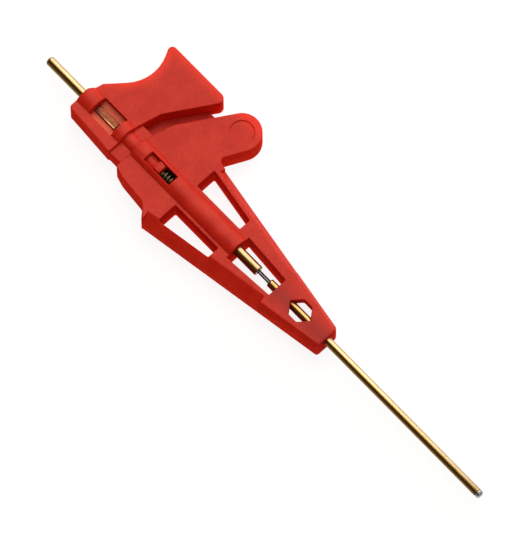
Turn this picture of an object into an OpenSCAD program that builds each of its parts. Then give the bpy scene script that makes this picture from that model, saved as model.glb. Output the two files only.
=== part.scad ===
// Test clip for fine component leads: a thumb slider pushes two spring jaws out of a long needle tube.
// Millimetres. X runs along the needle towards the jaws, Y towards the finger wing, Z up out of the slotted side.
// The origin is on the needle's axis, where the rear pin leaves the thumb slider.

/* [Mouldings] */
// Thickness of the flat plates of both mouldings
plate_t = 2.4; // [2.2:0.1:2.8]
// Height of the plates' upper faces above the needle's axis
plate_top = 0.68; // [0.6:0.02:0.8]
// Diameter of the round ridge along the axis
ridge_d = 2.34; // [2.2:0.02:2.6]
// Free travel of the thumb slider
stroke = 1.25; // [0.8:0.05:1.4]
// Gap left between the mouldings when the slider is pressed home
stop_gap = 0.05; // [0.02:0.01:0.1]
// Radial play of the stem in the barrel and of the push tube in its guide
slide_play = 0.05; // [0.02:0.01:0.08]
// Play of the lug in its slot and of the tongue in the body
guide_play = 0.08; // [0.04:0.01:0.12]
// Radial gap of a metal part fixed in its seat
seat_gap = 0.01; // [0.005:0.005:0.02]

/* [Thumb slider] */
// Length of the slider along the axis, without its stem
slider_len = 5; // [4.6:0.1:5.4]
// Distance from the axis to the plain edge at the back
slider_edge_rear = 1.7; // [1.5:0.05:1.9]
// Distance from the axis to the plain edge at the front
slider_edge_front = 2; // [1.8:0.05:2.2]
// Distance from the axis to the outer edge of the thumb wing
thumb_reach = 8; // [7:0.1:8.6]
// Radius of the concave thumb rest
thumb_rest_r = 3.5; // [3:0.1:4]
// Distance from the axis to the bend in the wing's front edge
thumb_bend_y = 3.25; // [3:0.05:3.5]
// Forward step of the wing's front edge at its bend
thumb_bend_x = 0.55; // [0.4:0.05:0.7]
// Angle of the wing's front edge above its bend, from the axis
thumb_slant = 58; // [54:1:62]
// Length of the stem that runs in the barrel
stem_len = 4.18; // [3.8:0.02:4.4]
// Diameter of the stem
stem_d = 1.4; // [1.36:0.02:1.5]
// Start of the recess around the contact sleeve
hub_recess_x = 1.5; // [1.3:0.1:1.6]
// Length of the recess around the contact sleeve
hub_recess_len = 2.57; // [2.5:0.05:2.7]
// Width of the recess around the contact sleeve
hub_recess_w = 1.9; // [1.7:0.05:2]
// Height of the recess's floor above the axis
hub_floor_z = 0.05; // [0.05:0.05:0.2]
// Height of the upper face of the tongue that runs in the body
tongue_z = 0.3; // [0.1:0.05:0.4]
// Distance from the axis to the tongue's edge on the plain side
tongue_near = 1.9; // [1.8:0.02:1.94]
// Distance from the axis to the tongue's edge on the wing's side
tongue_far = 1.62; // [1.5:0.02:1.7]
// Length of the tongue and of the ledge inside the body at rest
tongue_in = 0.25; // [0.2:0.05:0.4]
// Depth of the upper face of the thumb wing's ledge, below the axis
ledge_drop = 0.95; // [0.8:0.05:1.1]
// Distance from the axis to the end of the ledge
ledge_reach = 6.6; // [6:0.1:7]
// Length of the retaining lug on the stem
lug_len = 0.65; // [0.5:0.05:0.8]
// Width of the retaining lug
lug_w = 0.84; // [0.7:0.02:0.9]
// Height of the lug's top above the axis
lug_z = 1.05; // [0.95:0.05:1.1]

/* [Clip body] */
// Length of the barrel
barrel_len = 11.75; // [11:0.05:12]
// Width of the spine under the barrel's ridge
spine_w = 2.4; // [2.2:0.1:2.6]
// Depth of the bore for the stem and the spring
bore_len = 9.3; // [8.8:0.1:9.8]
// Free length of the slot behind the lug
slot_back = 1; // [0.6:0.05:1.1]
// Distance from the axis to the plain edge of the body
body_edge = 2.7; // [2.5:0.05:2.9]
// Distance of the hook at the root of the plain leg from the back of the body
hook_x = 4.75; // [4.5:0.05:5]

/* [Finger wing] */
// Radius of the wing's round end
lobe_r = 1.66; // [1.4:0.02:1.9]
// Distance of the round end's centre from the back of the body
lobe_x = 4.8; // [4.6:0.1:5]
// Distance of the round end's centre from the axis
lobe_y = 6.95; // [6.5:0.05:7.4]
// Distance of the wing's front root from the back of the body
wing_root_x = 5.2; // [5:0.05:5.4]
// Radius of the shallow finger dish
dish_r = 1; // [0.7:0.05:1.2]
// Depth of the shallow finger dish
dish_depth = 0.12; // [0.08:0.02:0.2]

/* [Nose frame] */
// Length of the centre window, between the barrel and the nose
centre_window_len = 4.6; // [4.4:0.1:5]
// Length of the nose in front of the centre window
nose_len = 5.82; // [5.6:0.02:6.2]
// Half width of the frame at the start of the side windows
frame_half_rear = 3.92; // [3.8:0.02:4.1]
// Half width of the nose's front end
frame_half_front = 1.22; // [1.15:0.01:1.35]
// Width of a leg beside a side window
leg_w = 0.85; // [0.75:0.05:0.95]
// Start of the side windows, from the back of the body
side_window_x = 5.7; // [5.6:0.1:5.9]
// Length of the bridge between the side windows and the front of the barrel
window_bridge = 1.05; // [0.9:0.05:1.3]
// Half width of the centre window at the barrel
centre_half_rear = 1.21; // [1.1:0.02:1.3]
// Half width of the centre window at the nose
centre_half_front = 0.9; // [0.8:0.02:1]
// Plan width of the upper slope of the leg on the plain side
plain_slope_w = 0.95; // [0.7:0.05:1]
// Plan width of the upper slope of the leg on the wing's side
wing_slope_w = 0.5; // [0.3:0.05:0.7]
// Plan width of the nose's upper slopes
nose_slope_w = 0.33; // [0.2:0.01:0.4]
// Plan width of the slopes of the underside
under_slope_w = 0.15; // [0.1:0.01:0.2]
// Drop of the legs' upper slopes
leg_slope_drop = 0.7; // [0.5:0.05:0.8]
// Drop of the slopes of the nose and of the underside
nose_slope_drop = 0.55; // [0.3:0.05:0.65]
// Half length of the opening across the nose
nose_hole_half_x = 1.16; // [1.1:0.02:1.3]
// Half width of the opening across the nose
nose_hole_half_y = 0.87; // [0.8:0.01:0.95]
// Distance of the opening's centre from the nose's front end
nose_hole_back = 3.12; // [3:0.02:3.3]
// Depth of the roof of the hollow under the nose, below the axis
hollow_drop = 0.2; // [0.15:0.05:0.3]
// Thickness of the walls beside the hollow, at their tops
hollow_wall = 0.42; // [0.4:0.01:0.5]
// Length of the solid wall at the nose's front end
nose_wall = 0.85; // [0.7:0.05:1]

/* [Metal parts] */
// Diameter of the rear pin
rear_pin_d = 0.8; // [0.64:0.02:1]
// Free length of the rear pin
rear_pin_free = 4.26; // [4:0.02:5]
// Length of the rear pin's square tail inside the slider, which ends in the push tube
rear_pin_tail = 4.6; // [4.4:0.1:4.8]
// Width of the square tail
rear_pin_tail_w = 0.34; // [0.3:0.01:0.34]
// Outer width of the square contact sleeve
sleeve_w = 0.62; // [0.56:0.02:0.7]
// Length of the contact sleeve
sleeve_len = 2.3; // [2.1:0.1:2.5]
// Outer diameter of the push tube
push_tube_d = 0.9; // [0.86:0.02:0.94]
// Inner diameter of the push tube
push_tube_bore = 0.5; // [0.4:0.02:0.6]
// Length of the solid plug at the push tube's front end
push_plug_len = 0.65; // [0.5:0.05:0.8]
// Outer diameter of the needle tube
needle_d = 0.72; // [0.66:0.02:0.8]
// Inner diameter of the needle tube
needle_bore = 0.46; // [0.44:0.01:0.5]
// Free length of the needle in front of the nose
needle_free = 17.44; // [15:0.02:19]
// Length of the needle tube that shows in the centre window
needle_tail = 0.85; // [0.7:0.05:1]

/* [Return spring] */
// Diameter of the spring's wire
spring_wire = 0.2; // [0.16:0.01:0.22]
// Mean diameter of the spring's coils
spring_mean_d = 1.2; // [1.16:0.01:1.24]
// Number of turns
spring_turns = 20; // [16:1:21]

/* [Jaws] */
// Diameter of a grip wire
grip_wire_d = 0.15; // [0.13:0.01:0.16]
// Distance of a grip wire's centre from the axis
grip_offset = 0.09; // [0.09:0.005:0.1]
// Radius of the closed jaws
claw_r = 0.35; // [0.33:0.01:0.36]
// Length of the closed jaws in front of the needle
claw_len = 0.36; // [0.34:0.01:0.45]
// Radius of the notch that holds a lead
notch_r = 0.08; // [0.06:0.01:0.12]
// Gap between the closed jaws, and between the jaws and the needle's mouth
jaw_gap = 0.03; // [0.02:0.01:0.05]

/* [Hidden] */

red = [0.78, 0.17, 0.13];
gold = [0.85, 0.66, 0.3];
steel = [0.62, 0.62, 0.63];
dark_steel = [0.3, 0.27, 0.26];

$fn = 64;
cut = 0.5;
arc_angle = 9;
plate_bottom = plate_top - plate_t;
plate_mid = plate_top - plate_t / 2;
gap_x = stroke + stop_gap;
body_x = slider_len + gap_x;
body_len = barrel_len + centre_window_len + nose_len;
nose_x = barrel_len + centre_window_len;
side_window_end = barrel_len - window_bridge;
barrel_end = body_x + barrel_len;
bore_end = body_x + bore_len;
centre_end = body_x + nose_x;
nose_front = body_x + body_len;
bore_r = stem_d / 2 + slide_play;
stem_end = slider_len + stem_len;
lug_rear = stem_end - lug_len;
slot_rear = lug_rear - slot_back;
slot_front = stem_end + gap_x;
slot_w = lug_w + 2 * guide_play;
sleeve_front = hub_recess_x + sleeve_len;
push_rear = sleeve_front + guide_play;
needle_rear = centre_end - needle_tail;
needle_mouth = nose_front + needle_free;
push_front = needle_rear - gap_x;
jaw_root = needle_mouth - stroke;
claw_x = needle_mouth + jaw_gap;
frame_slope = (frame_half_rear - frame_half_front) / (body_len - side_window_x);
frame_angle = atan(frame_slope);

// Half width of the nose frame at a distance from the back of the body
function frame_half(x) = frame_half_rear - frame_slope * (x - side_window_x);

// Number of straight steps in a rounding that turns through an angle
function arc_steps(turn) = max(2, ceil(abs(turn) / arc_angle));

function unit(v) = v / norm(v);
function plan(p) = [p[0], p[1]];

// One corner [x, y, radius] between its neighbours, as the points of its rounding
function corner_points(before, corner, after) =
  let (
    to_before = unit(plan(before) - plan(corner)),
    to_after = unit(plan(after) - plan(corner)),
    half = acos(to_before * to_after) / 2,
    middle = plan(corner) + unit(to_before + to_after) * corner[2] / sin(half),
    first = plan(corner) + to_before * corner[2] / tan(half) - middle,
    turn = (cross(to_after, to_before) > 0 ? 1 : -1) * (180 - 2 * half),
    start = atan2(first[1], first[0]),
    steps = arc_steps(turn)
  )
  corner[2] == 0 ? [plan(corner)] :
  [
    for (step = [0:steps])
      let (angle = start + turn * step / steps)
      middle + corner[2] * [cos(angle), sin(angle)]
  ];

// All the points of an outline whose corners are [x, y, radius]
function rounded(corners) =
  let (count = len(corners))
  [
    for (i = [0:count - 1])
      each corner_points(corners[(i + count - 1) % count], corners[i], corners[(i + 1) % count])
  ];

// Where a line from a point touches a circle, on its left (side 1) or right (side -1)
function touch_point(from, centre, radius, side) =
  let (
    away = centre - from,
    reach = sqrt(away * away - radius * radius),
    angle = atan2(away[1], away[0]) + side * asin(radius / norm(away))
  )
  from + reach * [cos(angle), sin(angle)];

// Plain corners along the arc around a centre, anticlockwise from one point of it to another
function arc_corners(centre, from, to) =
  let (
    start = atan2(from[1] - centre[1], from[0] - centre[0]),
    end = atan2(to[1] - centre[1], to[0] - centre[0]),
    steps = arc_steps(end - start)
  )
  [
    for (step = [0:steps])
      let (angle = start + (end - start) * step / steps)
      concat(centre + norm(from - centre) * [cos(angle), sin(angle)], 0)
  ];

// A round bar along X from one end to the other
module bar(from, to, d, across = 0) {
  translate([from, across, 0])
    rotate([0, 90, 0])
      cylinder(d = d, h = to - from);
}

// A block given by its lowest and highest corners
module block(low, high) {
  translate(low)
    cube(high - low);
}

// A square bar along X from one end to the other
module square_bar(from, to, width) {
  block([from, -width / 2, -width / 2], [to, width / 2, width / 2]);
}

// A flat plate of a moulding, from its outline
module plate() {
  translate([0, 0, plate_bottom])
    linear_extrude(plate_t)
      children();
}

// The slider's outline seen from above: thumb rest at the back, slanted edge towards the finger wing
thumb_bend = [slider_len + thumb_bend_x, thumb_bend_y];
thumb_corner_x = thumb_bend[0] + (thumb_reach - thumb_bend_y) / tan(thumb_slant);
hub_shoulder_y = 1.05;
slider_corners = [
  [0, -slider_edge_rear, 0.25],
  [slider_len, -slider_edge_front, 0.2],
  [slider_len, hub_shoulder_y, 0.6],
  [thumb_bend[0], thumb_bend[1], 1.2],
  [thumb_corner_x, thumb_reach, 0.5],
  [1.53, thumb_reach, 0.4],
  [3.2, 4.9, thumb_rest_r],
  [0.42, 1.6, 0.2],
  [0.3, hub_shoulder_y, 0.2],
  [0, 0.35, 0.3]
];

module slider_outline() {
  polygon(rounded(slider_corners));
}

// Front step of the slider, which runs in the body: a tongue beside the stem and a low ledge along the wing
module front_step(forward, play) {
  front = slider_len + forward;
  block([slider_len - cut, -tongue_near - play, plate_bottom - play], [front, tongue_far + play, tongue_z + play]);
  translate([0, 0, plate_bottom - play])
    linear_extrude(-ledge_drop - plate_bottom + 2 * play)
      intersection() {
        translate([forward, 0])
          slider_outline();
        translate([slider_len - cut, 0])
          square([thumb_reach, ledge_reach + play]);
      }
}

module thumb_slider() {
  color(red)
    difference() {
      union() {
        plate()
          slider_outline();
        intersection() {
          bar(0, slider_len, ridge_d);
          linear_extrude(ridge_d)
            slider_outline();
        }
        bar(slider_len - cut, stem_end, stem_d);
        front_step(gap_x + tongue_in, 0);
        block([lug_rear, -lug_w / 2, 0], [stem_end, lug_w / 2, lug_z]);
      }
      block(
        [hub_recess_x, -hub_recess_w / 2, hub_floor_z],
        [hub_recess_x + hub_recess_len, hub_recess_w / 2, ridge_d]
      );
      square_bar(-cut, hub_recess_x + cut, rear_pin_tail_w + 2 * seat_gap);
      square_bar(hub_recess_x, push_rear, sleeve_w + 2 * seat_gap);
      bar(push_rear - seat_gap, stem_end + cut, push_tube_d + 2 * seat_gap);
    }
}

// The body's outline seen from above, from its back edge at x = 0
wing_bend = [thumb_bend_x, thumb_bend_y];
wing_root = [wing_root_x, frame_half(wing_root_x)];
lobe = [lobe_x, lobe_y];
body_corners = [
  [0, -2.4, 0.2],
  [1, -body_edge, 0.8],
  [3.75, -body_edge - 0.25, 0.9],
  [hook_x, -frame_half(hook_x), 0.3],
  [body_len, -frame_half_front, 0.5],
  [body_len, frame_half_front, 0.5],
  [wing_root[0], wing_root[1], 0.35],
  each arc_corners(lobe, touch_point(wing_root, lobe, lobe_r, -1), touch_point(wing_bend, lobe, lobe_r, 1)),
  [wing_bend[0], wing_bend[1], 1.2],
  [0, hub_shoulder_y, 0.6]
];

// Window between the barrel's spine and a leg
module side_window() {
  end = side_window_end;
  corner_r = 0.12;
  polygon(rounded([
    [side_window_x, spine_w / 2, corner_r],
    [end, spine_w / 2, corner_r],
    [end, frame_half(end) - leg_w, corner_r],
    [side_window_x, frame_half(side_window_x) - leg_w, corner_r]
  ]));
}

// Window in front of the barrel, where the push tube meets the needle tube
module centre_window() {
  polygon([
    [barrel_len, -centre_half_rear],
    [nose_x, -centre_half_front],
    [nose_x, centre_half_front],
    [barrel_len, centre_half_rear]
  ]);
}

// Six-sided opening across the nose, with its points along the needle
module nose_hole() {
  flat = 0.4 * nose_hole_half_x;
  tip_r = 0.1;
  corner_r = 0.25;
  translate([body_len - nose_hole_back, 0])
    polygon(rounded([
      [nose_hole_half_x, 0, tip_r],
      [flat, nose_hole_half_y, corner_r],
      [-flat, nose_hole_half_y, corner_r],
      [-nose_hole_half_x, 0, tip_r],
      [-flat, -nose_hole_half_y, corner_r],
      [flat, -nose_hole_half_y, corner_r]
    ]));
}

module body_outline() {
  difference() {
    polygon(rounded(body_corners));
    side_window();
    mirror([0, 1])
      side_window();
    centre_window();
    nose_hole();
  }
}

// Wedge that slopes the upper outer side of the frame on the wing's side, between two distances
module frame_slope(from, to, width, drop) {
  translate([from, frame_half(from), plate_top])
    rotate(-frame_angle)
      rotate([90, 0, 90])
        linear_extrude((to - from) / cos(frame_angle))
          polygon([
            [-width, 0],
            [cut, -drop * (width + cut) / width],
            [cut, cut],
            [-width, cut]
          ]);
}

// The upper slopes of one side, wide along the leg and narrow along the nose, and the slope below them
module frame_slopes(from, leg_slope_w) {
  frame_slope(from, nose_x, leg_slope_w, leg_slope_drop);
  frame_slope(nose_x - cut / 2, body_len + cut, nose_slope_w, nose_slope_drop);
  translate([0, 0, 2 * plate_mid])
    mirror([0, 0, 1])
      frame_slope(from, body_len + cut, under_slope_w, nose_slope_drop);
}

// Hollow under the nose, around the needle, with a narrow way in from the centre window
module nose_hollow() {
  start = nose_x + hollow_wall;
  end = body_len - nose_wall;
  start_half = frame_half(start) - hollow_wall;
  end_half = frame_half(end) - hollow_wall;
  way_half = 0.8 * centre_half_front;
  translate([0, 0, plate_bottom - cut])
    linear_extrude(-hollow_drop - plate_bottom + cut)
      polygon([
        [nose_x - cut, -way_half],
        [start, -way_half],
        [start, -start_half],
        [end, -end_half],
        [end, end_half],
        [start, start_half],
        [start, way_half],
        [nose_x - cut, way_half]
      ]);
}

module clip_body() {
  color(red)
    difference() {
      translate([body_x, 0, 0])
        difference() {
          union() {
            plate()
              body_outline();
            bar(0, barrel_len, ridge_d);
          }
          frame_slopes(wing_root_x + 2 * cut, wing_slope_w);
          mirror([0, 1, 0])
            frame_slopes(hook_x, plain_slope_w);
          nose_hollow();
          translate([lobe_x, lobe_y, plate_top - dish_depth])
            cylinder(r = dish_r, h = cut);
        }
      front_step(gap_x + tongue_in + stroke + guide_play, guide_play);
      bar(body_x - cut, bore_end, 2 * bore_r);
      bar(bore_end - cut, barrel_end + cut, push_tube_d + 2 * slide_play);
      block([slot_rear, -slot_w / 2, 0], [slot_front, slot_w / 2, ridge_d]);
      bar(centre_end - cut, nose_front + cut, needle_d + 2 * seat_gap);
    }
}

// Round pin for a test lead, with a square tail through the slider
module rear_pin() {
  tip = rear_pin_d / 4;
  color(gold) {
    bar(tip - rear_pin_free, 0, rear_pin_d);
    translate([-rear_pin_free, 0, 0])
      rotate([0, 90, 0])
        cylinder(d1 = rear_pin_d / 2, d2 = rear_pin_d, h = tip);
    square_bar(-tip, rear_pin_tail, rear_pin_tail_w);
  }
}

// Square sleeve on the rear pin's tail, in the slider's recess
module contact_sleeve() {
  color(gold)
    difference() {
      square_bar(hub_recess_x + seat_gap, sleeve_front, sleeve_w);
      square_bar(hub_recess_x - cut, sleeve_front + cut, rear_pin_tail_w + 2 * seat_gap);
    }
}

module push_tube() {
  color(gold)
    difference() {
      bar(push_rear, push_front, push_tube_d);
      bar(push_rear - cut, push_front - push_plug_len, push_tube_bore);
      for (side = [-1, 1])
        bar(push_front - push_plug_len - cut, push_front + cut, grip_wire_d + 4 * seat_gap, side * grip_offset);
    }
}

// Coil spring between the end of the stem and the end of the bore
module return_spring() {
  ring_points = 8;
  steps = 16;
  coil_r = spring_mean_d / 2;
  wire_r = spring_wire / 2;
  rings = spring_turns * steps;
  first = stem_end + seat_gap + wire_r;
  last = bore_end - seat_gap - wire_r;
  points = [
    for (i = [0:rings])
      for (k = [0:ring_points - 1])
        let (
          around = 360 * i / steps,
          bend = 360 * k / ring_points,
          r = coil_r + wire_r * cos(bend)
        )
        [first + (last - first) * i / rings + wire_r * sin(bend), r * cos(around), r * sin(around)]
  ];
  sides = [
    for (i = [0:rings - 1])
      for (k = [0:ring_points - 1])
        let (next = (k + 1) % ring_points)
        [i * ring_points + k, i * ring_points + next, (i + 1) * ring_points + next, (i + 1) * ring_points + k]
  ];
  start_cap = [for (k = [0:ring_points - 1]) ring_points - 1 - k];
  end_cap = [for (k = [0:ring_points - 1]) rings * ring_points + k];
  color(steel)
    polyhedron(points, concat(sides, [start_cap], [end_cap]));
}

module needle_tube() {
  color(gold)
    difference() {
      bar(needle_rear, needle_mouth, needle_d);
      bar(needle_rear - cut, needle_mouth + cut, needle_bore);
    }
}

// Straight part of a grip wire, from the push tube's plug to the root of its jaw
module grip_wire(side) {
  color(dark_steel)
    bar(push_front - push_plug_len, jaw_root - jaw_gap / 2, grip_wire_d, side * grip_offset);
}

// Round end of the closed pair of jaws
module claws() {
  translate([claw_x, 0, 0])
    rotate([0, 90, 0])
      rotate_extrude()
        polygon(rounded([
          [0, 0, 0],
          [claw_r, 0, 0],
          [claw_r, claw_len, claw_len * 0.6],
          [0, claw_len, 0]
        ]));
}

// Free end of a grip wire, with half of the round end
module jaw(side) {
  color(steel)
    difference() {
      union() {
        bar(jaw_root + jaw_gap / 2, claw_x + claw_len / 2, grip_wire_d, side * grip_offset);
        intersection() {
          claws();
          block(
            [claw_x - cut, side > 0 ? jaw_gap / 2 : -cut, -cut],
            [claw_x + cut, side > 0 ? cut : -jaw_gap / 2, cut]
          );
        }
      }
      translate([claw_x + claw_len / 2, 0, -cut])
        cylinder(r = notch_r, h = 2 * cut);
    }
}

clip_body();
thumb_slider();
rear_pin();
contact_sleeve();
push_tube();
return_spring();
needle_tube();
grip_wire(1);  // grip_wire_left
grip_wire(-1);  // grip_wire_right
jaw(1);  // jaw_left
jaw(-1);  // jaw_right
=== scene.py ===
import math

import bpy
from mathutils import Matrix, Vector


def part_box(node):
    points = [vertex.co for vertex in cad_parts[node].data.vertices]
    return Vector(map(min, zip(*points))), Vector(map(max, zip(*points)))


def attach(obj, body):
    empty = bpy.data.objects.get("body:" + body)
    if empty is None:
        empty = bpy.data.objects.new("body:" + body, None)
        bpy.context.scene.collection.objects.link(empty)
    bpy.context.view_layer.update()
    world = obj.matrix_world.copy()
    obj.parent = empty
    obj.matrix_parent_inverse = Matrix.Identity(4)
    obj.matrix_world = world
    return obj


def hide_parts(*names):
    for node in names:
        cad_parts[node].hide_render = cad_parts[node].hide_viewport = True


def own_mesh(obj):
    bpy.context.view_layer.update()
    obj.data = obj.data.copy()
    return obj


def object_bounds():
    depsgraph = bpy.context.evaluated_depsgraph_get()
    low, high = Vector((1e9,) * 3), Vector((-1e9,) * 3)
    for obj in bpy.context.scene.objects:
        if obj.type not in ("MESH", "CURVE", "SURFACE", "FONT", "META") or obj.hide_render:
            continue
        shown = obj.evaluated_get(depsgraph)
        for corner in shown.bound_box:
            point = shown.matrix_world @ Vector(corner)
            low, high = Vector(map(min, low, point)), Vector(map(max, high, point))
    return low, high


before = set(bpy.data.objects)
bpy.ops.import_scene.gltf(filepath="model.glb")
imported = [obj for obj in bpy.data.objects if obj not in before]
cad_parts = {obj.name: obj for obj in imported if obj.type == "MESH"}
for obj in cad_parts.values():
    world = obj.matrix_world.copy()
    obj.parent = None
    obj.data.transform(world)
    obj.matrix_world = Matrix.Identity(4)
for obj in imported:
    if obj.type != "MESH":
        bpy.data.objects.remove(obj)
cad_low, cad_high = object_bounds()

# Sizes are in metres, so a millimetre is named once
MM = 0.001

# The photograph's height in pixels, and the size of one of its pixels at the needle's axis
PHOTO_HEIGHT = 544
PIXEL = 0.08 * MM

# Where the camera looks from, in degrees round the clip and above the floor, and the point that it looks at
VIEW_AZIMUTH = 46.9
VIEW_ELEVATION = 71.0
VIEW_MIDDLE = Vector((20.85 * MM, 0.30 * MM, 0))
LENS = 600
SENSOR = 36

# Lamps: their warm white, and the strength of the even light from all round
WARM = (1, 0.93, 0.76)
ROOM_LIGHT = 0.14

# The turn between two faces from which their edge is rounded, and up to which they count as one flat face
SHARP_ANGLE = math.radians(30)
FLAT_ANGLE = math.radians(1)

# Width of the rounding on moulded and on pressed edges, and its steps
MOULDED_EDGE = 0.08 * MM
PRESSED_EDGE = 0.05 * MM
EDGE_STEPS = 3

# Points closer together than this are one: in a CAD mesh, after rounding, and in the wound spring
CAD_GAP = 0.002 * MM
ROUNDED_GAP = 0.0001 * MM
WOUND_GAP = 0.0005 * MM

# Sides of a turned metal piece, and of the spring's wire and coil
TURNED_SIDES = 64
WIRE_SIDES = 14
COIL_STEPS = 40

# A face of a turned piece is an end face where its normal's X is larger than this
END_FACING = 0.9

# The turn in degrees up to which faces are shaded as one surface
MOULDED_SHADING = 32
TURNED_SHADING = 40
WOUND_SHADING = 50


# Working as by hand in Blender

def start_clean():
    """Leaves edit mode and deselects every object."""
    if bpy.context.object and bpy.context.object.mode != "OBJECT":
        bpy.ops.object.mode_set(mode="OBJECT")
    bpy.ops.object.select_all(action="DESELECT")


def make_active(piece):
    """Makes the piece the only one that the next operators act on."""
    start_clean()
    piece.select_set(True)
    bpy.context.view_layer.objects.active = piece


def select_parts(piece, kind, wanted):
    """Selects the faces or edges that the test accepts, and stays in edit mode."""
    bpy.ops.object.mode_set(mode="EDIT")
    bpy.ops.mesh.select_mode(type=kind)
    bpy.ops.mesh.select_all(action="DESELECT")
    bpy.ops.object.mode_set(mode="OBJECT")
    parts = piece.data.polygons if kind == "FACE" else piece.data.edges
    for part in parts:
        part.select = wanted(part)
    bpy.ops.object.mode_set(mode="EDIT")


def merge_points(gap):
    """Merges points of the piece in edit mode that lie closer together than the gap."""
    bpy.ops.mesh.select_all(action="SELECT")
    bpy.ops.mesh.remove_doubles(threshold=gap)


def apply_modifier(piece, name, kind, **settings):
    """Gives the active piece a modifier with those settings, and applies it."""
    modifier = piece.modifiers.new(name, kind)
    for setting, value in settings.items():
        setattr(modifier, setting, value)
    bpy.ops.object.modifier_apply(modifier=modifier.name)


def finish_piece(piece, smooth_angle):
    """Puts the piece's place into its mesh and smooths it up to that many degrees between faces."""
    bpy.ops.object.mode_set(mode="OBJECT")
    make_active(piece)
    bpy.ops.object.transform_apply(location=True, rotation=True, scale=True)
    bpy.ops.object.shade_smooth_by_angle(angle=math.radians(smooth_angle))


def stand_for(piece, node, body, finish):
    """The piece takes a CAD node's place, rides on its body and gets its finish."""
    piece.data.materials.clear()
    piece.data.materials.append(finish)
    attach(piece, body)
    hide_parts(node)


# Shader maths

class Value:
    """A socket that Python's operators work on, each adding its Math node."""

    def __init__(self, tree, socket):
        self.tree = tree
        self.socket = socket

    def node(self, kind, settings=None, out=0, **inputs):
        """Adds a node, sets it up and gives one output. Inputs go by name, or by number, as in i0."""
        made = self.tree.nodes.new(kind)
        for name, setting in (settings or {}).items():
            setattr(made, name, setting)
        for name, value in inputs.items():
            by_number = name[0] == "i" and name[1:].isdigit()
            place = made.inputs[int(name[1:]) if by_number else name]
            if isinstance(value, Value):
                self.tree.links.new(value.socket, place)
            else:
                place.default_value = value
        return Value(self.tree, made.outputs[out])

    def maths(self, operation, a, b=0.0):
        return self.node("ShaderNodeMath", {"operation": operation}, i0=a, i1=b)

    def __add__(self, other):
        return self.maths("ADD", self, other)

    def __radd__(self, other):
        return self.maths("ADD", other, self)

    def __rsub__(self, other):
        return self.maths("SUBTRACT", other, self)

    def __mul__(self, other):
        return self.maths("MULTIPLY", self, other)

    def __rmul__(self, other):
        return self.maths("MULTIPLY", other, self)

    def size(self):
        return self.maths("ABSOLUTE", self)

    def ramp(self, low, high):
        """0 below low and 1 above high, rising smoothly between them."""
        smooth = {"interpolation_type": "SMOOTHSTEP"}
        return self.node("ShaderNodeMapRange", smooth, i0=self, i1=low, i2=high)


class Finish:
    """A new material with its shader, and the object's own coordinates to paint by."""

    def __init__(self, name, **constants):
        self.material = bpy.data.materials.new(name)
        self.material.use_nodes = True
        self.tree = self.material.node_tree
        self.shader = self.tree.nodes["Principled BSDF"]
        self.start = Value(self.tree, None)
        self.place = self.start.node("ShaderNodeTexCoord", out="Object")
        self.facing = self.start.node("ShaderNodeTexCoord", out="Normal")
        for socket, value in constants.items():
            self.shader.inputs[socket.replace("_", " ")].default_value = value

    def set(self, socket, value):
        """Links a value that changes over the surface to the shader."""
        self.tree.links.new(value.socket, self.shader.inputs[socket])

    def stretched(self, scale):
        """The place on the object, with each axis multiplied by its own factor."""
        return self.start.node("ShaderNodeMapping", Vector=self.place, Scale=scale)

    def noise(self, grain, detail=2.0, vector=None):
        """Soft noise whose lumps are about that many metres across."""
        return self.start.node(
            "ShaderNodeTexNoise", Vector=vector or self.place, Scale=1 / grain, Detail=detail
        )

    def along(self, axis, vector=None):
        """The X, Y or Z of the place on the object, or of another vector, as a value."""
        return self.start.node("ShaderNodeSeparateXYZ", out=axis, Vector=vector or self.place)

    def between(self, start, end, blend=0.2 * MM):
        """1 between two places along the clip, and 0 outside them."""
        x = self.along("X")
        return x.ramp(start - blend, start) * (1 - x.ramp(end, end + blend))

    def distance(self, centre):
        """How far the place on the object is from an upright line through a point."""
        flat = self.stretched((1, 1, 0))
        return self.start.node(
            "ShaderNodeVectorMath", {"operation": "DISTANCE"}, out="Value", i0=flat, i1=centre
        )

    def mixed(self, share, first, second):
        """A colour between two others."""
        return self.start.node(
            "ShaderNodeMix", {"data_type": "RGBA"}, out=2, i0=share, i6=first, i7=second
        )

    def bumped(self, height, depth):
        """Bumps on the surface, where a height from 0 to 1 rises by that many metres."""
        bump = self.start.node("ShaderNodeBump", Height=height, Distance=depth, Strength=1.0)
        self.set("Normal", bump)


# Red plastic

def rims(finish):
    """1 at the thumb rest's edge and at the outer edges, where a glow of light through the plastic is
    painted.
    """
    rest_centre = (-1.01 * MM, 5.34 * MM, 0)
    rest_radius = 3.5 * MM
    rest_rim = 0.9 * MM
    outer_rim_start = 7.1 * MM
    outer_rim_end = 8.1 * MM
    off_rest = finish.distance(rest_centre).ramp(rest_radius, rest_radius + rest_rim)
    off_outer_edge = 1 - finish.along("Y").ramp(outer_rim_start, outer_rim_end)
    return 1 - off_rest * off_outer_edge


def painted_nose_shade(finish):
    """1 along the middle of the nose, where shade is painted over the hollow that makes it thin."""
    nose_start = 22.4 * MM
    nose_full = 22.7 * MM
    shift_to_near_side = 0.24 * MM
    hollow_reach = 1.3 * MM
    off_hollow = (finish.along("Y") + shift_to_near_side).size()
    return finish.along("X").ramp(nose_start, nose_full) * (1 - off_hollow.ramp(0, hollow_reach))


def recess_floor(finish):
    """1 on the floor of the slider's recess, beside the sleeve, where paler reflected light is painted."""
    rear = 1.6 * MM
    front = 4.0 * MM
    half_width = 0.9 * MM
    side_blend = 0.1 * MM
    height = 0.15 * MM
    height_blend = 0.15 * MM
    across = finish.along("Y").size()
    inside = finish.between(rear, front) * (1 - across.ramp(half_width, half_width + side_blend))
    return inside * (1 - finish.along("Z").ramp(height, height + height_blend))


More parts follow.
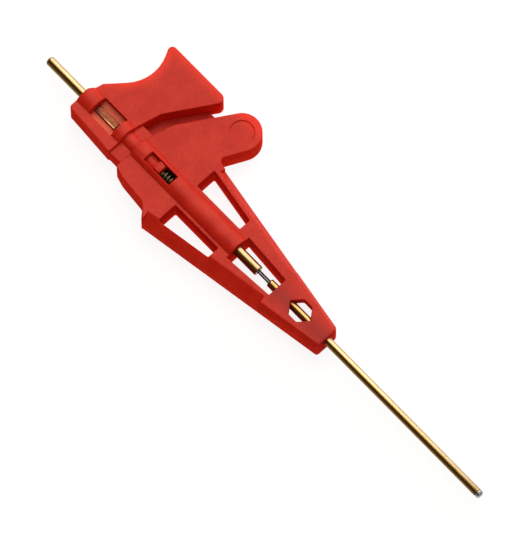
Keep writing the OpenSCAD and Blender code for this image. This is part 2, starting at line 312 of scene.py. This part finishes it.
def glossy_faces(finish):
    """1 on faces that lie flat or lean to the far side, and 0 on the other walls."""
    far_share = 0.5
    gloss_start = 0.45
    gloss_full = 0.9
    flat = finish.along("Z", finish.facing).size()
    far_side = finish.along("Y", finish.facing)
    return (flat + far_share * far_side).ramp(gloss_start, gloss_full)


def red_moulding():
    """Satin red plastic with a fine grain, painted paler at the rims as glowing light and in the recess as
    reflected light, and painted darker in the thin nose as shade.
    """
    deep_red = (0.54, 0.016, 0.008, 1)
    full_red = (0.69, 0.027, 0.012, 1)
    # painted glow of light through the plastic, at the rims
    painted_glow_red = (0.88, 0.032, 0.013, 1)
    # painted shade over the nose's hollow
    painted_shade_nose_red = (0.42, 0.014, 0.011, 1)
    # painted reflected light on the recess floor
    painted_reflection_red = (0.80, 0.13, 0.07, 1)
    cloud_size = 1.6 * MM
    grain_size = 0.18 * MM
    grain_depth = 0.006 * MM
    finish = Finish(
        "red_plastic",
        Roughness=0.9,
        Specular_IOR_Level=0.0,
        Coat_Roughness=0.5,
        Coat_IOR=1.5,
        Subsurface_Weight=0.2,
        Subsurface_Radius=(1.0, 0.12, 0.06),
        Subsurface_Scale=0.8 * MM,
    )
    grain = finish.noise(grain_size, detail=3.0)
    clouds = finish.noise(cloud_size)
    tone = clouds.ramp(0.3, 0.7) * 0.5 + grain.ramp(0.35, 0.65) * 0.5
    colour = finish.mixed(tone, deep_red, full_red)
    colour = finish.mixed(rims(finish), colour, painted_glow_red)
    colour = finish.mixed(painted_nose_shade(finish), colour, painted_shade_nose_red)
    colour = finish.mixed(recess_floor(finish), colour, painted_reflection_red)
    finish.set("Base Color", colour)
    finish.set("Coat Weight", glossy_faces(finish) * (0.36 + 0.2 * clouds))
    finish.bumped(grain, grain_depth)
    return finish.material


# Metal finishes

def gold_plating():
    """Drawn gold plating, with painted dark reflection on the near side, painted red reflection in the nose
    and painted shade in the barrel.
    """
    soft_gold = (0.56, 0.40, 0.23, 1)
    bright_gold = (0.63, 0.46, 0.29, 1)
    # painted reflection of the red walls in the nose
    red_reflection_gold = (0.64, 0.38, 0.16, 1)
    # painted shade in the barrel
    barrel_shade_gold = (0.10, 0.055, 0.025, 1)
    # painted dark reflection on the near side
    dark_reflection_gold = (0.20, 0.10, 0.018, 1)
    barrel_start = 5 * MM
    barrel_end = 17.7 * MM
    nose_start = 21.8 * MM
    nose_end = 28.3 * MM
    dark_side_blend = 0.35
    patch_size = 0.9 * MM
    line_width = 0.04 * MM
    line_depth = 0.001 * MM
    drawn_out = (0.02, 1, 1)
    finish = Finish("gold_plating", Metallic=1.0)
    nose = finish.between(nose_start, nose_end)
    barrel = finish.between(barrel_start, barrel_end)
    dark_reflection_side = (-1 * finish.along("Y", finish.facing)).ramp(-dark_side_blend, dark_side_blend)
    lines = finish.noise(line_width, vector=finish.stretched(drawn_out))
    patches = finish.noise(patch_size)
    colour = finish.mixed(patches.ramp(0.35, 0.65), soft_gold, bright_gold)
    colour = finish.mixed(nose, colour, red_reflection_gold)
    colour = finish.mixed(barrel, colour, barrel_shade_gold)
    colour = finish.mixed(dark_reflection_side, colour, dark_reflection_gold)
    finish.set("Base Color", colour)
    finish.set("Roughness", 0.24 + 0.1 * patches + 0.06 * lines)
    finish.bumped(lines, line_depth)
    return finish.material


def dull_gold():
    """Gold plating dulled to a brown with a painted red reflection of the recess, and a painted highlight
    along the near edge, brighter towards the front.
    """
    # dull brown with a painted red reflection of the recess
    dark_dull_reflected_red = (0.14, 0.033, 0.024, 1)
    light_dull_reflected_red = (0.20, 0.066, 0.032, 1)
    # painted highlight along the near edge
    painted_highlight_gold = (0.75, 0.52, 0.28, 1)
    stain_size = 0.35 * MM
    edge_start = 0.18 * MM
    edge_full = 0.25 * MM
    front_start = 2.3 * MM
    front_full = 3.1 * MM
    rear_highlight_share = 0.25
    finish = Finish("dull_gold", Metallic=1.0)
    stains = finish.noise(stain_size, detail=3.0)
    highlight_edge = (-1 * finish.along("Y")).ramp(edge_start, edge_full)
    front = finish.along("X").ramp(front_start, front_full)
    edge_highlight = highlight_edge * (rear_highlight_share + (1 - rear_highlight_share) * front)
    colour = finish.mixed(stains.ramp(0.3, 0.7), dark_dull_reflected_red, light_dull_reflected_red)
    finish.set("Base Color", finish.mixed(edge_highlight, colour, painted_highlight_gold))
    finish.set("Roughness", 0.3 + 0.2 * stains)
    return finish.material


def spring_steel():
    """Drawn steel, bare at the jaws, with painted shade in the barrel."""
    grey_steel = (0.30, 0.30, 0.29, 1)
    bright_steel = (0.40, 0.40, 0.39, 1)
    # painted shade in the barrel
    barrel_shade_steel = (0.13, 0.125, 0.09, 1)
    shade_start = 9 * MM
    shade_end = 16 * MM
    line_width = 0.03 * MM
    finish = Finish("spring_steel", Metallic=1.0)
    barrel = finish.between(shade_start, shade_end)
    lines = finish.noise(line_width)
    colour = finish.mixed(lines, grey_steel, bright_steel)
    finish.set("Base Color", finish.mixed(barrel, colour, barrel_shade_steel))
    finish.set("Roughness", 0.2 + 0.15 * lines)
    return finish.material


def dark_wire():
    """Dull dark wire, browned by handling."""
    dark_brown = (0.025, 0.013, 0.013, 1)
    light_brown = (0.06, 0.034, 0.03, 1)
    mark_size = 0.05 * MM
    finish = Finish("dark_wire", Metallic=1.0)
    marks = finish.noise(mark_size)
    finish.set("Base Color", finish.mixed(marks, dark_brown, light_brown))
    finish.set("Roughness", 0.5 + 0.2 * marks)
    return finish.material


# CAD solids with rounded edges

def cut_across(places, axis):
    """Cuts a solid's faces at those places, so that none has a hole in it, and keeps the cuts."""
    for place in places:
        bpy.ops.mesh.select_all(action="SELECT")
        bpy.ops.mesh.bisect(plane_co=place * axis, plane_no=axis)
        bpy.ops.mesh.mark_seam()


def flat_faced_copy(name, node, cuts_along, cuts_across):
    """A copy of a CAD solid, with its triangles joined into flat faces up to the cuts."""
    piece = bpy.data.objects.new(name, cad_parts[node].data.copy())
    bpy.context.scene.collection.objects.link(piece)
    make_active(piece)
    bpy.ops.object.mode_set(mode="EDIT")
    bpy.ops.mesh.customdata_custom_splitnormals_clear()
    merge_points(CAD_GAP)
    cut_across(cuts_along, Vector((1, 0, 0)))
    cut_across(cuts_across, Vector((0, 1, 0)))
    cut_across([0], Vector((0, 0, 1)))
    bpy.ops.mesh.select_all(action="SELECT")
    bpy.ops.mesh.dissolve_limited(angle_limit=FLAT_ANGLE, delimit={"SEAM"})
    bpy.ops.object.mode_set(mode="OBJECT")
    return piece


def weigh_outer_edges(mesh):
    """Gives full bevel weight to each edge where two faces meet outwards at more than the sharp angle."""
    sides = {edge.index: [] for edge in mesh.edges}
    for face in mesh.polygons:
        for corner in face.loop_indices:
            loop = mesh.loops[corner]
            sides[loop.edge_index].append((face.normal, loop.vertex_index))
    weight = mesh.attributes.new("bevel_weight_edge", "FLOAT", "EDGE")
    for edge in mesh.edges:
        if len(sides[edge.index]) != 2:
            continue
        (normal, start), (next_normal, _) = sides[edge.index]
        ends = [mesh.vertices[i].co for i in edge.vertices]
        along = ends[1] - ends[0] if start == edge.vertices[0] else ends[0] - ends[1]
        outwards = normal.cross(along).dot(next_normal) < 0
        if outwards and normal.angle(next_normal) > SHARP_ANGLE:
            weight.data[edge.index].value = 1


def softened(name, node, radius, cuts_along, cuts_across):
    """A CAD solid with its sharp outward edges rounded, and every point kept inside the solid."""
    piece = flat_faced_copy(name, node, cuts_along, cuts_across)
    weigh_outer_edges(piece.data)
    apply_modifier(
        piece,
        "soft_edges",
        "BEVEL",
        width=radius,
        segments=EDGE_STEPS,
        limit_method="WEIGHT",
        use_clamp_overlap=False,
        miter_outer="MITER_ARC",
    )
    apply_modifier(
        piece,
        "inside_the_solid",
        "SHRINKWRAP",
        target=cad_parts[node],
        wrap_method="NEAREST_SURFACEPOINT",
        wrap_mode="INSIDE",
    )
    bpy.ops.object.mode_set(mode="EDIT")
    merge_points(ROUNDED_GAP)
    finish_piece(piece, MOULDED_SHADING)
    apply_modifier(piece, "flat_faces", "WEIGHTED_NORMAL", keep_sharp=True)
    return piece


def body_moulding(finish):
    """The body, cut through its finger dish, its windows, the nose's hole and the nose's front."""
    dish_x = 11.1 * MM
    dish_y = 6.95 * MM
    side_windows_x = 14.5 * MM
    centre_window_x = 20.35 * MM
    nose_hole_x = 25.35 * MM
    nose_front_x = 28.2 * MM
    cuts_along = [dish_x, side_windows_x, centre_window_x, nose_hole_x, nose_front_x]
    piece = softened("body_moulding", "clip_body", MOULDED_EDGE, cuts_along, [0, dish_y])
    stand_for(piece, "clip_body", "frame", finish)


def slider_moulding(finish):
    """The slider with its thumb rest, cut through its recess."""
    recess_x = 2.8 * MM
    piece = softened("slider_moulding", "thumb_slider", MOULDED_EDGE, [recess_x], [0])
    stand_for(piece, "thumb_slider", "slider", finish)


def contact_sleeve(finish):
    """The square sleeve in the slider's recess."""
    piece = softened("sleeve", "contact_sleeve", PRESSED_EDGE, [], [0])
    stand_for(piece, "contact_sleeve", "slider", finish)


# Turned metal pieces

def turned_rod(name, rear, front, radius):
    """A round bar along X, between two places on the axis."""
    start_clean()
    bpy.ops.mesh.primitive_cylinder_add(
        vertices=TURNED_SIDES,
        radius=radius,
        depth=front - rear,
        location=((rear + front) / 2, 0, 0),
        rotation=(0, math.pi / 2, 0),
    )
    piece = bpy.context.object
    piece.name = name
    bpy.ops.object.transform_apply(location=True, rotation=True, scale=True)
    return piece


def bore_rear(piece, wall, depth):
    """Sinks a hole into a bar's rear end, leaving a wall round it."""
    select_parts(piece, "FACE", lambda face: face.normal.x < -END_FACING)
    bpy.ops.mesh.inset(thickness=wall)
    bpy.ops.mesh.extrude_region_move(TRANSFORM_OT_translate={"value": (depth, 0, 0)})
    bpy.ops.object.mode_set(mode="OBJECT")


def bore_through(piece, wall):
    """Opens a bar from end to end, leaving a wall round the hole."""
    select_parts(piece, "FACE", lambda face: abs(face.normal.x) > END_FACING)
    bpy.ops.mesh.inset(thickness=wall, use_individual=True)
    bpy.ops.mesh.bridge_edge_loops()
    bpy.ops.object.mode_set(mode="OBJECT")


def round_rim(piece, at, width, segments=3):
    """Rounds the rims of a bar at one place along the axis."""
    hair = 0.001 * MM

    def on_rim(edge):
        ends = [piece.data.vertices[i].co for i in edge.vertices]
        return all(abs(end.x - at) < hair for end in ends)

    select_parts(piece, "EDGE", on_rim)
    bpy.ops.mesh.bevel(offset=width, segments=segments, affect="EDGES")
    bpy.ops.object.mode_set(mode="OBJECT")


def needle_tube(finish):
    """The long needle, open from its back to its mouth."""
    low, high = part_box("needle_tube")
    piece = turned_rod("needle", low.x, high.x, high.z)
    bore_through(piece, wall=0.13 * MM)
    round_rim(piece, high.x, width=0.03 * MM)
    round_rim(piece, low.x, width=0.1 * MM, segments=4)
    finish_piece(piece, TURNED_SHADING)
    stand_for(piece, "needle_tube", "frame", finish)


def push_tube(finish):
    """The tube that the slider pushes, with a plug and a turned-in rim at its front end."""
    low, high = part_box("push_tube")
    plug = 0.65 * MM
    piece = turned_rod("push_rod", low.x, high.x, high.z)
    bore_rear(piece, wall=0.2 * MM, depth=high.x - low.x - plug)
    round_rim(piece, high.x, width=0.1 * MM, segments=4)
    round_rim(piece, low.x, width=0.05 * MM)
    finish_piece(piece, TURNED_SHADING)
    stand_for(piece, "push_tube", "slider", finish)


def rear_pin(finish):
    """The pin for a test lead, with a rounded point and a square tail."""
    low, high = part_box("rear_pin")
    tail_width = 0.34 * MM
    piece = turned_rod("lead_pin", low.x, 0, high.z)
    round_rim(piece, low.x, width=0.2 * MM, segments=5)
    start_clean()
    bpy.ops.mesh.primitive_cube_add(
        size=1, location=(high.x / 2, 0, 0), scale=(high.x, tail_width, tail_width)
    )
    piece.select_set(True)
    bpy.context.view_layer.objects.active = piece
    bpy.ops.object.join()
    finish_piece(piece, TURNED_SHADING)
    stand_for(piece, "rear_pin", "slider", finish)


# Return spring

def return_spring(finish):
    """A coil of round wire; the real spring closes up as the slider is pressed."""
    low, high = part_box("return_spring")
    turns = 20
    wire_radius = 0.1 * MM
    coil_radius = high.z - wire_radius
    length = high.x - low.x
    start_clean()
    bpy.ops.mesh.primitive_circle_add(
        vertices=WIRE_SIDES,
        radius=wire_radius,
        location=(low.x + wire_radius, 0, coil_radius),
        rotation=(math.pi / 2, 0, 0),
    )
    piece = bpy.context.object
    piece.name = "coil_spring"
    bpy.ops.object.transform_apply(location=True, rotation=True, scale=True)
    apply_modifier(
        piece,
        "winding",
        "SCREW",
        axis="X",
        angle=2 * math.pi,
        screw_offset=(length - 2 * wire_radius) / turns,
        iterations=turns,
        steps=COIL_STEPS,
        render_steps=COIL_STEPS,
        use_merge_vertices=False,
    )
    bpy.ops.object.mode_set(mode="EDIT")
    merge_points(WOUND_GAP)
    bpy.ops.mesh.fill_holes(sides=WIRE_SIDES)
    bpy.ops.mesh.select_all(action="SELECT")
    bpy.ops.mesh.normals_make_consistent(inside=False)
    finish_piece(piece, WOUND_SHADING)
    stand_for(piece, "return_spring", "frame", finish)
    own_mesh(piece)


# Wires and jaws, whose CAD solids show as they are

def bare_metal(nodes, finish):
    """Gives CAD solids their finish."""
    for node in nodes:
        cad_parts[node].data.materials[0] = finish


# Floor, light and camera

def floor():
    """A white light table under the clip, so that its shadow is faint."""
    sheet_size = 1.2
    hair = 0.02 * MM
    dark_paper = (0.14, 0.14, 0.14, 1)
    light_paper = (0.18, 0.18, 0.18, 1)
    tooth_size = 0.6 * MM
    start_clean()
    bpy.ops.mesh.primitive_plane_add(size=sheet_size, location=(VIEW_MIDDLE.x, 0, cad_low.z - hair))
    sheet = bpy.context.object
    sheet.name = "floor"
    paper = Finish("white_sheet", Roughness=0.9, Emission_Strength=0.88, Emission_Color=(1, 1, 1, 1))
    tooth = paper.noise(tooth_size)
    paper.set("Base Color", paper.mixed(tooth, dark_paper, light_paper))
    sheet.data.materials.append(paper.material)


def soft_light(name, azimuth, elevation, distance, size, power, colour=(1, 1, 1)):
    """A square soft box that faces the clip."""
    start_clean()
    a = math.radians(azimuth)
    e = math.radians(elevation)
    towards = Vector((math.cos(a) * math.cos(e), math.sin(a) * math.cos(e), math.sin(e)))
    bpy.ops.object.light_add(type="AREA", location=VIEW_MIDDLE + towards * distance)
    light = bpy.context.object
    light.name = name
    light.rotation_euler = (-towards).to_track_quat("-Z", "Y").to_euler()
    light.data.shape = "SQUARE"
    light.data.size = size
    light.data.energy = power
    light.data.color = colour


def room():
    """Dim, even light from all round."""
    world = bpy.data.worlds.new("room")
    bpy.context.scene.world = world
    world.use_nodes = True
    back = world.node_tree.nodes["Background"]
    back.inputs["Color"].default_value = (1, 1, 1, 1)
    back.inputs["Strength"].default_value = ROOM_LIGHT


def camera():
    """A long lens at the photograph's angle, with the photograph's scale in the picture's middle."""
    a = math.radians(VIEW_AZIMUTH)
    e = math.radians(VIEW_ELEVATION)
    back = Vector((math.sin(a) * math.cos(e), -math.cos(a) * math.cos(e), math.sin(e)))
    distance = PHOTO_HEIGHT * PIXEL * LENS / SENSOR
    start_clean()
    bpy.ops.object.camera_add(location=VIEW_MIDDLE + back * distance)
    eye = bpy.context.object
    eye.rotation_euler = (-back).to_track_quat("-Z", "Y").to_euler()
    eye.data.lens = LENS
    eye.data.sensor_width = SENSOR
    eye.data.clip_start = distance / 100
    eye.data.clip_end = distance * 10
    bpy.context.scene.camera = eye
    bpy.context.scene.view_settings.view_transform = "Standard"


red = red_moulding()
gold = gold_plating()
steel = spring_steel()

body_moulding(red)
slider_moulding(red)
needle_tube(gold)
push_tube(gold)
contact_sleeve(dull_gold())
rear_pin(gold)
return_spring(steel)
bare_metal(["grip_wire_left", "grip_wire_right"], dark_wire())
bare_metal(["jaw_left", "jaw_right"], steel)

floor()
soft_light("key", azimuth=109, elevation=35, distance=0.35, size=0.32, power=0.8, colour=WARM)
soft_light("top", azimuth=135, elevation=72, distance=0.4, size=0.25, power=0.7, colour=WARM)
soft_light("fill", azimuth=-10, elevation=55, distance=0.35, size=0.2, power=0.14)
room()
camera()
